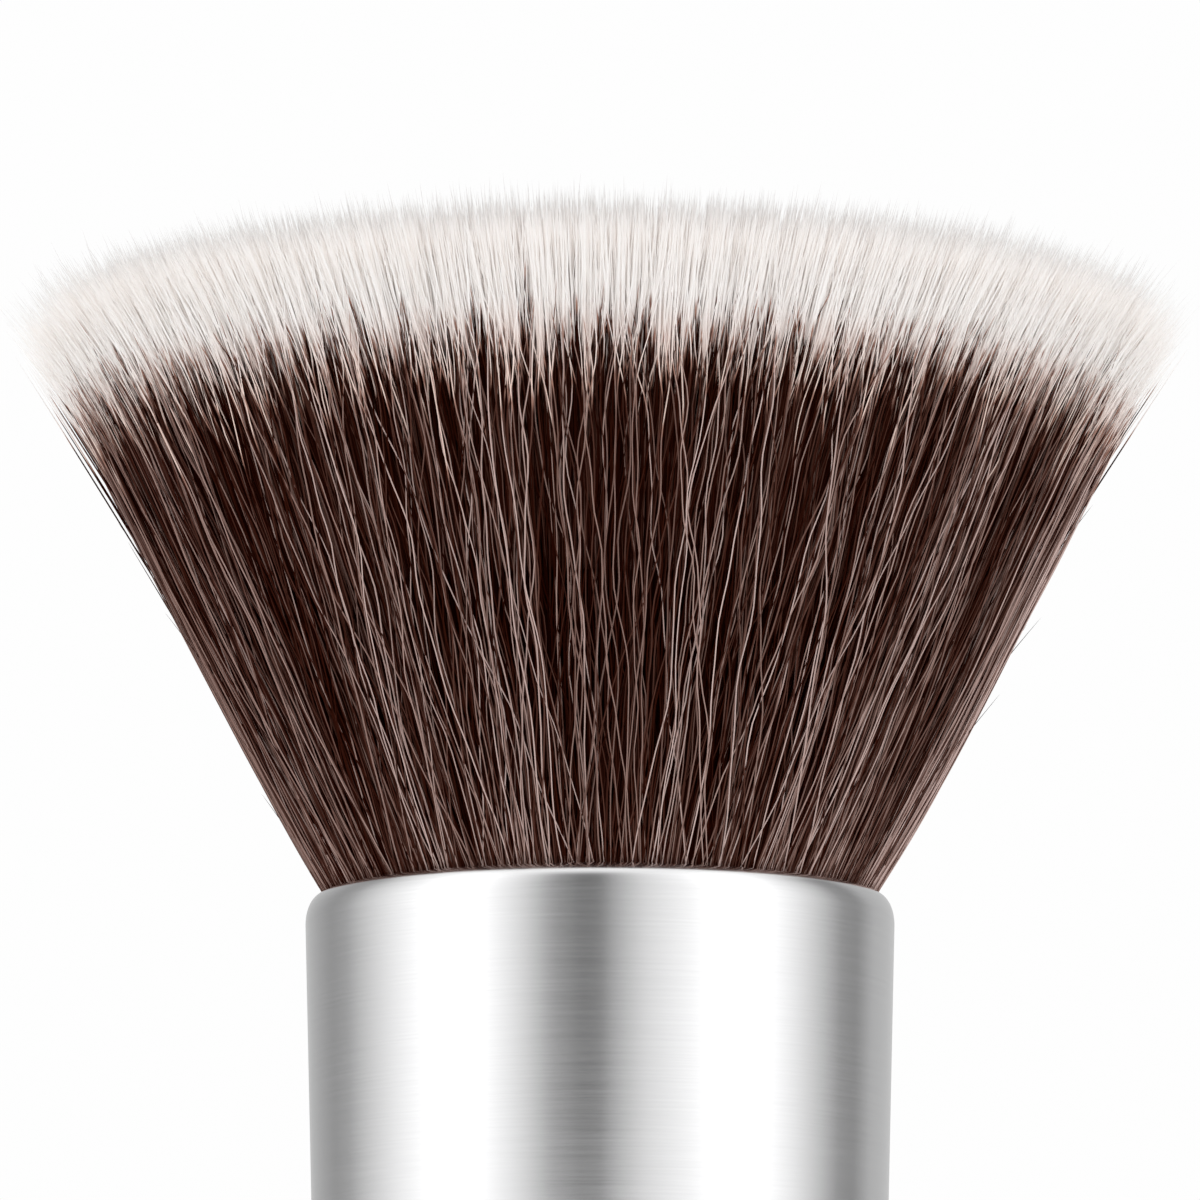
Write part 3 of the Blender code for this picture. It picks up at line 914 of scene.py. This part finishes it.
# %% Strays
RIGHT_EDGE = 0.0
LEFT_EDGE = np.pi
STRAY_GAP = 0.0003
LEAVING_CURVE = 1.3
SCATTERED_COUNT = 160
EDGE_STRAYS = (
    (RIGHT_EDGE, 0.0040, 0.0078, 0.00075),
    (RIGHT_EDGE, 0.0065, 0.0107, 0.00090),
    (RIGHT_EDGE, 0.0101, 0.0150, 0.00080),
    (RIGHT_EDGE, 0.0143, 0.0205, 0.00060),
    (RIGHT_EDGE + 0.05, 0.0085, 0.0196, 0.00095),
    (RIGHT_EDGE - 0.06, 0.0100, 0.0202, 0.00115),
    (RIGHT_EDGE + 0.03, 0.0112, 0.0189, 0.00080),
    (RIGHT_EDGE - 0.08, 0.0155, 0.0224, 0.00090),
    (RIGHT_EDGE + 0.02, 0.0150, 0.0220, 0.00110),
    (RIGHT_EDGE + 0.09, 0.0150, 0.0226, 0.00080),
    (RIGHT_EDGE, 0.0080, 0.0212, 0.00160),
    (RIGHT_EDGE - 0.04, 0.0095, 0.0207, 0.00130),
    (LEFT_EDGE, 0.0012, 0.0040, 0.00025),
    (LEFT_EDGE, 0.0034, 0.0136, 0.00070),
    (LEFT_EDGE, 0.0060, 0.0090, 0.00030),
    (LEFT_EDGE, 0.0118, 0.0200, 0.00060),
    (LEFT_EDGE + 0.06, 0.0080, 0.0194, 0.00100),
    (LEFT_EDGE - 0.05, 0.0092, 0.0203, 0.00120),
    (LEFT_EDGE + 0.02, 0.0108, 0.0188, 0.00080),
    (LEFT_EDGE - 0.03, 0.0060, 0.0160, 0.00070),
    (LEFT_EDGE + 0.10, 0.0150, 0.0222, 0.00120),
    (LEFT_EDGE + 0.04, 0.0155, 0.0226, 0.00140),
    (LEFT_EDGE - 0.02, 0.0150, 0.0219, 0.00150),
    (LEFT_EDGE - 0.08, 0.0160, 0.0224, 0.00120),
    (LEFT_EDGE + 0.01, 0.0140, 0.0214, 0.00130),
    (LEFT_EDGE, 0.0050, 0.0207, 0.00160),
    (LEFT_EDGE + 0.03, 0.0060, 0.0203, 0.00130),
    (LEFT_EDGE - 0.03, 0.0070, 0.0206, 0.00140),
    (LEFT_EDGE + 0.05, 0.0085, 0.0200, 0.00120),
)
scattered = [
    (bearing, leaves, leaves + length, off)
    for bearing, leaves, length, off in zip(
        chance.uniform(0, 2 * np.pi, SCATTERED_COUNT),
        chance.uniform(0.002, 0.015, SCATTERED_COUNT),
        chance.uniform(0.003, 0.007, SCATTERED_COUNT),
        chance.uniform(0.0002, 0.0008, SCATTERED_COUNT),
    )
]
strays = np.array(list(EDGE_STRAYS) + scattered)[:, :, None]
stray_group = lay_filaments(
    chance,
    (strays[:, 0], np.ones((len(strays), 1)), strays[:, 2]),
    foot_rise=ROOT_RISE,
    stations=22,
    lean=0.0,
    waves=((0.00006, 0.8, 2.0),),
    width=(0.000060, 0.000076),
    tones=(1.6, 3.0),
    dip_offset=0.0012,
)
leaving = np.clip((stray_group["rise"] - strays[:, 1]) / (strays[:, 2] - strays[:, 1]), 0, 1)
stray_way_out = (strays[:, 3] + STRAY_GAP) * leaving**LEAVING_CURVE
stray_group["radius"] = stray_group["radius"] + stray_way_out
add_filaments("filaments_stray", stray_group, 1)

# %% [markdown]
# ### The heart of the tuft
#
# Between the filaments the eye meets more filaments, too deep to tell apart. A turned core
# stands for them. A profile with a Screw modifier makes it, as a lathe would, and the same
# helper turns the ferrule, the handle and the foot later. A profile runs down its outer side,
# so that the faces point out.

# %% Lathe helper
SMOOTH_STEPS = 192
SHARP_DEGREES = 35
MERGE_DISTANCE = 0.000001
EDGE_POINTS = 8


def turned(name, outline, steps=SMOOTH_STEPS, closed=False):
    """A piece turned about Z from (radius, height) points that run down its outer side."""
    mesh = bpy.data.meshes.new(name + "_profile")
    edges = [(i, i + 1) for i in range(len(outline) - 1)]
    if closed:
        edges.append((len(outline) - 1, 0))
    mesh.from_pydata([(across, 0.0, up) for across, up in outline], edges, [])
    profile = bpy.data.objects.new(name + "_profile", mesh)
    bpy.context.scene.collection.objects.link(profile)
    lathe = profile.modifiers.new("Lathe", "SCREW")
    lathe.steps = steps
    lathe.render_steps = steps
    lathe.use_merge_vertices = True
    lathe.merge_threshold = MERGE_DISTANCE
    lathed = profile.evaluated_get(bpy.context.evaluated_depsgraph_get())
    solid = bpy.data.meshes.new_from_object(lathed)
    bpy.data.objects.remove(profile)
    solid.name = name
    solid.shade_smooth()
    solid.set_sharp_from_angle(angle=math.radians(SHARP_DEGREES))
    piece = bpy.data.objects.new(name, solid)
    bpy.context.scene.collection.objects.link(piece)
    print(f"{name}: {len(solid.polygons)} faces")
    return piece


def arc(centre, radii, start, end, count):
    """Points of an elliptical arc about a (radius, height) centre, between angles in degrees."""
    angles = [math.radians(start + (end - start) * i / count) for i in range(count + 1)]
    return [
        (centre[0] + radii[0] * math.cos(a), centre[1] + radii[1] * math.sin(a)) for a in angles
    ]


# %% [markdown]
# The core is nearly black behind the brown side, a painted shade for the shadowed filaments deep in
# the tuft, and it is off-white under the white tips. It stays 2.6 mm under them, deep enough for
# the upper ends to hide it from above.

# %% Core of the tuft
CORE_SHARE = 0.890
CORE_UNDER_TIPS = 0.0026
CORE_EDGE = 0.0030
CORE_FOOT = -0.0010
CORE_STEPS = 96
CORE_ROUGHNESS = 0.75
CORE_FADE_START = 0.0002
CORE_FADE_END = 0.0026
CORE_SHADED_BROWNS = ((0.35, (0.005, 0.0012, 0.0008)), (0.75, (0.020, 0.006, 0.004)))
CORE_WHITES = ((0.30, (0.80, 0.75, 0.72)), (0.65, (0.96, 0.93, 0.91)))

core_top = TIP_RISE - CORE_UNDER_TIPS
core_rim = CORE_SHARE * fan_radius(core_top) - CORE_EDGE
core_outline = [(0.0, MOUTH + core_top + TIP_DOME)]
core_outline += arc(
    (core_rim, MOUTH + core_top - CORE_EDGE), (CORE_EDGE, CORE_EDGE), 90, 0, EDGE_POINTS
)
core_outline.append((CORE_SHARE * fan_radius(CORE_FOOT), MOUTH + CORE_FOOT))
core_outline.append((0.0, MOUTH + CORE_FOOT))
core = turned("filament_core", core_outline, steps=CORE_STEPS)

core_finish, core_shader = new_finish("deep_filaments", CORE_ROUGHNESS)
core_speckle = stretched_noise(core_finish, (5200, 5200, 500), detail=2.0)
core_dip = fade(
    core_finish,
    own_height(core_finish),
    dip_height + CORE_FADE_START,
    dip_height + CORE_FADE_END,
)
# The brown part of the core is painted nearly black: painted shade for the deep filaments.
core_shaded_brown = ramp(core_finish, core_speckle, CORE_SHADED_BROWNS)
core_white = ramp(core_finish, core_speckle, CORE_WHITES)
feed(core_finish, core_shader, "Base Color", blend(core_finish, core_dip, core_shaded_brown, core_white))
adopt(core, core_finish, "filament", "bristle_tuft")

# %% [markdown]
# ## Ferrule
#
# The ferrule is a drawn aluminium tube. Its top edge is rolled over in a small lip, and it
# tapers a little towards the handle, where a crimp holds it on the tenon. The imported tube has
# flat facets, so a finer turned one of the same size takes its place, for smooth reflections.
# Its lip turns over within 1.0 mm, as the photograph shows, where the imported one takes 1.3 mm.

# %% Turn the ferrule
FERRULE_TAPER = 0.0007
FERRULE_WALL = 0.0004
LIP_INSET = 0.0005
LIP_HEIGHT = 0.0010
CRIMP_RISE = 0.0045
CRIMP_HALF_WIDTH = 0.0009
CRIMP_DEPTH = 0.00025
CRIMP_POINTS = 17
LIP_POINTS = 20
ROLL_POINTS = 12
LIP_SHOULDER = MOUTH - LIP_HEIGHT
LIP_CROWN_RADIUS = FERRULE_RADIUS - LIP_INSET


def ferrule_outside(height):
    """Outer radius of the tapered tube."""
    fall = (LIP_SHOULDER - height) / (LIP_SHOULDER - FERRULE_FOOT)
    return FERRULE_RADIUS - FERRULE_TAPER * fall


def crimped(wall):
    """Points down through the crimp, on a face that lies a wall's thickness inside the tube."""
    points = []
    for along in np.linspace(1, -1, CRIMP_POINTS):
        height = FERRULE_FOOT + CRIMP_RISE + CRIMP_HALF_WIDTH * along
        depth = CRIMP_DEPTH * math.cos(math.pi * along / 2) ** 2
        points.append((ferrule_outside(height) - wall - depth, height))
    return points


lip_centre = (LIP_CROWN_RADIUS, LIP_SHOULDER)
ferrule_outline = arc(lip_centre, (LIP_INSET, LIP_HEIGHT), 90, 0, LIP_POINTS)
ferrule_outline += crimped(0.0)
ferrule_outline.append((ferrule_outside(FERRULE_FOOT), FERRULE_FOOT))
ferrule_outline.append((ferrule_outside(FERRULE_FOOT) - FERRULE_WALL, FERRULE_FOOT))
ferrule_outline += crimped(FERRULE_WALL)[::-1]
inner_lip = (LIP_INSET - FERRULE_WALL, LIP_HEIGHT - FERRULE_WALL)
ferrule_outline += arc(lip_centre, inner_lip, 0, 90, EDGE_POINTS)
rolled_centre = (LIP_CROWN_RADIUS, MOUTH - FERRULE_WALL / 2)
rolled_radii = (FERRULE_WALL / 2, FERRULE_WALL / 2)
ferrule_outline += arc(rolled_centre, rolled_radii, 270, 90, ROLL_POINTS)[1:-1]
ferrule = turned("ferrule_tube", ferrule_outline, closed=True)

# %% [markdown]
# The tube is brushed as it spins, so its scratches run round it. Noise that is stretched far
# more in height than round the tube gives such scratches, and they vary the colour and the
# roughness. The reflections smear along the axis: the shader's tangent runs round the tube,
# and a quarter turn of the anisotropy lays the smear across it.

# %% Brushed aluminium
SCRATCH_SUM = (0.7, 1.3)
SCRATCH_STRENGTH = 0.04
SCRATCH_HEIGHT = 0.000004


def brushed_metal(name, colours, roughness, scratch_scales, band_scales):
    """Metal with fine scratches round Z and wider, fainter bands."""
    finish, shader = new_finish(
        name, roughness[0], Metallic=1.0, Anisotropic=0.5, Anisotropic_Rotation=0.25
    )
    scratches = stretched_noise(finish, scratch_scales, detail=3.0)
    bands = stretched_noise(finish, band_scales, detail=2.0)
    brushed = ramp(finish, scratches, ((0.3, colours[0]), (0.7, colours[1])))
    feed(finish, shader, "Base Color", brushed)
    both = add(finish, "Math", {0: scratches, 1: bands}, operation="ADD")
    rough = add(
        finish,
        "MapRange",
        {
            "Value": both.outputs[0],
            "From Min": SCRATCH_SUM[0],
            "From Max": SCRATCH_SUM[1],
            "To Min": roughness[0],
            "To Max": roughness[1],
        },
    )
    feed(finish, shader, "Roughness", rough.outputs[0])
    round_axis = add(finish, "Tangent", {}, direction_type="RADIAL", axis="Z")
    feed(finish, shader, "Tangent", round_axis.outputs[0])
    relief = add(
        finish,
        "Bump",
        {"Height": scratches, "Strength": SCRATCH_STRENGTH, "Distance": SCRATCH_HEIGHT},
    )
    feed(finish, shader, "Normal", relief.outputs[0])
    return finish


ferrule_finish = brushed_metal(
    "brushed_aluminium",
    colours=((0.785, 0.785, 0.79), (0.815, 0.815, 0.82)),
    roughness=(0.15, 0.19),
    scratch_scales=(260, 260, 17000),
    band_scales=(70, 70, 3800),
)
adopt(ferrule, ferrule_finish, "ferrule_metal", "ferrule")
print("brushed finish:", len(ferrule_finish.node_tree.nodes), "nodes")

# %% [markdown]
# ## Handle
#
# The handle is turned from a close-grained wood, stained dark and lacquered. It narrows to a
# waist where the fingers hold it. The photograph stops above it, so its shape follows brushes
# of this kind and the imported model. Its hidden tenon and bore are repeated too, so that the
# piece is whole.

# %% Turn the handle
WAIST_RADIUS = 0.0092
WAIST_RISE = 0.0215
WAIST_POINTS = 32
HANDLE_EDGE = 0.0004
FIT_GAP = 0.0003
TENON_CHAMFER = 0.0006
BORE_RADIUS = 0.0055
GLUE_THICKNESS = 0.0006
TENON_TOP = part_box("handle")[1].z
HANDLE_TOP = FERRULE_FOOT - FIT_GAP
BORE_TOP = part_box("balance_weight")[1].z + FIT_GAP


def tenon_radius(height):
    """Radius of the tenon that fills the tube."""
    return ferrule_outside(height) - FERRULE_WALL - FIT_GAP


def waist_curve(upper, lower, count):
    """A smooth half wave between two (radius, height) points, upright at both."""
    points = []
    for along in np.linspace(0, 1, count):
        ease = (1 - math.cos(math.pi * along)) / 2
        radius = upper[0] + (lower[0] - upper[0]) * ease
        points.append((radius, upper[1] + (lower[1] - upper[1]) * along))
    return points


edge_radius = ferrule_outside(FERRULE_FOOT)
handle_outline = [(0.0, TENON_TOP), (tenon_radius(TENON_TOP) - TENON_CHAMFER, TENON_TOP)]
handle_outline.append((tenon_radius(TENON_TOP), TENON_TOP - TENON_CHAMFER))
channel_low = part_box("glue_ring")[0].z - FIT_GAP
channel_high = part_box("glue_ring")[1].z + FIT_GAP
channel_radius = tenon_radius(channel_low) - GLUE_THICKNESS - FIT_GAP
handle_outline += [(tenon_radius(channel_high), channel_high), (channel_radius, channel_high)]
handle_outline += [(channel_radius, channel_low), (tenon_radius(channel_low), channel_low)]
handle_outline += crimped(FERRULE_WALL + FIT_GAP)
handle_outline.append((tenon_radius(HANDLE_TOP), HANDLE_TOP))
edge_centre = (edge_radius - HANDLE_EDGE, HANDLE_TOP - HANDLE_EDGE)
handle_outline += arc(edge_centre, (HANDLE_EDGE, HANDLE_EDGE), 90, 0, EDGE_POINTS)
waist = (WAIST_RADIUS, WAIST_RISE)
handle_foot = (FOOT_TOP_RADIUS, HANDLE_BOTTOM)
handle_outline += waist_curve(handle_outline[-1], waist, WAIST_POINTS)[1:]
handle_outline += waist_curve(waist, handle_foot, WAIST_POINTS)[1:]
handle_outline += [(BORE_RADIUS, HANDLE_BOTTOM), (BORE_RADIUS, BORE_TOP), (0.0, BORE_TOP)]
handle = turned("handle_wood", handle_outline)

# %% [markdown]
# Stained wood keeps its grain: long, soft streaks along the handle, and short dark pores. The
# lacquer over it is the shader's coat.

# %% Stained wood
STAIN_BY_STREAK = (
    (0.30, (0.020, 0.0085, 0.0055)),
    (0.50, (0.050, 0.0215, 0.0130)),
    (0.72, (0.092, 0.0420, 0.0250)),
)
PORE_COLOUR = (0.010, 0.005, 0.004)
PORE_START = 0.60
PORE_FULL = 0.70
WOOD_ROUGHNESS = 0.42

wood_finish, wood_shader = new_finish(
    "stained_wood", WOOD_ROUGHNESS, Coat_Weight=0.5, Coat_Roughness=0.16
)
streaks = stretched_noise(wood_finish, (420, 420, 14), detail=5.0)
pores = stretched_noise(wood_finish, (4200, 4200, 160), detail=2.0)
stain = ramp(wood_finish, streaks, STAIN_BY_STREAK)
pore_limits = {"Value": pores, "From Min": PORE_START, "From Max": PORE_FULL}
pore_mask = add(wood_finish, "MapRange", pore_limits)
grain = blend(wood_finish, pore_mask.outputs[0], stain, PORE_COLOUR)
feed(wood_finish, wood_shader, "Base Color", grain)
grain_relief = add(wood_finish, "Bump", {"Height": pores, "Strength": 0.12, "Distance": 0.00001})
feed(wood_finish, wood_shader, "Normal", grain_relief.outputs[0])
adopt(handle, wood_finish, "handle_wood", "handle")
print("wood finish:", len(wood_finish.node_tree.nodes), "nodes")

# %% [markdown]
# ## Foot
#
# The brush stands on a turned aluminium foot with a soft edge and a fine groove under it.

# %% Turn the foot
FOOT_HEIGHT = HANDLE_BOTTOM - FIT_GAP
FOOT_FILLET = 0.0009
SPIGOT_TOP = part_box("base_cap")[1].z
SPIGOT_RADIUS = BORE_RADIUS - FIT_GAP
SPIGOT_CHAMFER = 0.0005
GROOVE_INSET = 0.0022
GROOVE_WIDTH = 0.0005
GROOVE_OUTSIDE = FOOT_TOP_RADIUS - GROOVE_INSET
GROOVE_INSIDE = GROOVE_OUTSIDE - GROOVE_WIDTH
GROOVE_DEPTH = 0.00025
TOP_EDGE = 0.00025
TOP_EDGE_POINTS = 6
FILLET_POINTS = 16

foot_outline = [(0.0, SPIGOT_TOP), (SPIGOT_RADIUS - SPIGOT_CHAMFER, SPIGOT_TOP)]
foot_outline += [(SPIGOT_RADIUS, SPIGOT_TOP - SPIGOT_CHAMFER), (SPIGOT_RADIUS, FOOT_HEIGHT)]
top_centre = (FOOT_TOP_RADIUS - TOP_EDGE, FOOT_HEIGHT - TOP_EDGE)
foot_outline += arc(top_centre, (TOP_EDGE, TOP_EDGE), 90, 0, TOP_EDGE_POINTS)
fillet_centre = (FOOT_TOP_RADIUS - FOOT_FILLET, FOOT_FILLET)
foot_outline += arc(fillet_centre, (FOOT_FILLET, FOOT_FILLET), 0, -90, FILLET_POINTS)
foot_outline += [(GROOVE_OUTSIDE, 0.0), (GROOVE_OUTSIDE, GROOVE_DEPTH)]
foot_outline += [(GROOVE_INSIDE, GROOVE_DEPTH), (GROOVE_INSIDE, 0.0)]
foot_outline.append((0.0, 0.0))
foot = turned("foot_turned", foot_outline)
foot_finish = brushed_metal(
    "turned_aluminium",
    colours=((0.80, 0.80, 0.81), (0.92, 0.92, 0.925)),
    roughness=(0.26, 0.34),
    scratch_scales=(260, 260, 12000),
    band_scales=(70, 70, 3000),
)
adopt(foot, foot_finish, "foot_metal", "base_cap")

# %% [markdown]
# ## Pieces inside
#
# The resin block, the tied thread, the ring of adhesive and the steel weight can't be seen on
# the whole brush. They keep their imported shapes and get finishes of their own, for whoever
# takes the brush apart.

# %% Finishes inside
def plain_finish(name, dark, pale, roughness, scales, **sockets):
    """A finish that wanders between two colours, with a fine relief."""
    finish, shader = new_finish(name, roughness, **sockets)
    patches = stretched_noise(finish, scales, detail=4.0)
    feed(finish, shader, "Base Color", ramp(finish, patches, ((0.3, dark), (0.7, pale))))
    relief = add(finish, "Bump", {"Height": patches, "Strength": 0.2, "Distance": 0.00002})
    feed(finish, shader, "Normal", relief.outputs[0])
    return finish


inside_finishes = {
    "root_block": plain_finish(
        "cast_resin", (0.44, 0.31, 0.16), (0.60, 0.47, 0.28), 0.25, (500, 500, 500), Coat_Weight=0.3
    ),
    "tie_thread": plain_finish(
        "waxed_thread", (0.50, 0.46, 0.39), (0.68, 0.64, 0.57), 0.70, (3000, 3000, 9000)
    ),
    "glue_ring": plain_finish(
        "set_adhesive", (0.62, 0.58, 0.42), (0.74, 0.70, 0.55), 0.30, (900, 900, 900)
    ),
    "balance_weight": plain_finish(
        "turned_steel", (0.38, 0.38, 0.39), (0.50, 0.50, 0.51), 0.38, (200, 200, 9000), Metallic=1.0
    ),
}
for node_name, finish in inside_finishes.items():
    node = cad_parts[node_name]
    node.data.materials.clear()
    node.data.materials.append(finish)
print("finishes inside:", len(inside_finishes))
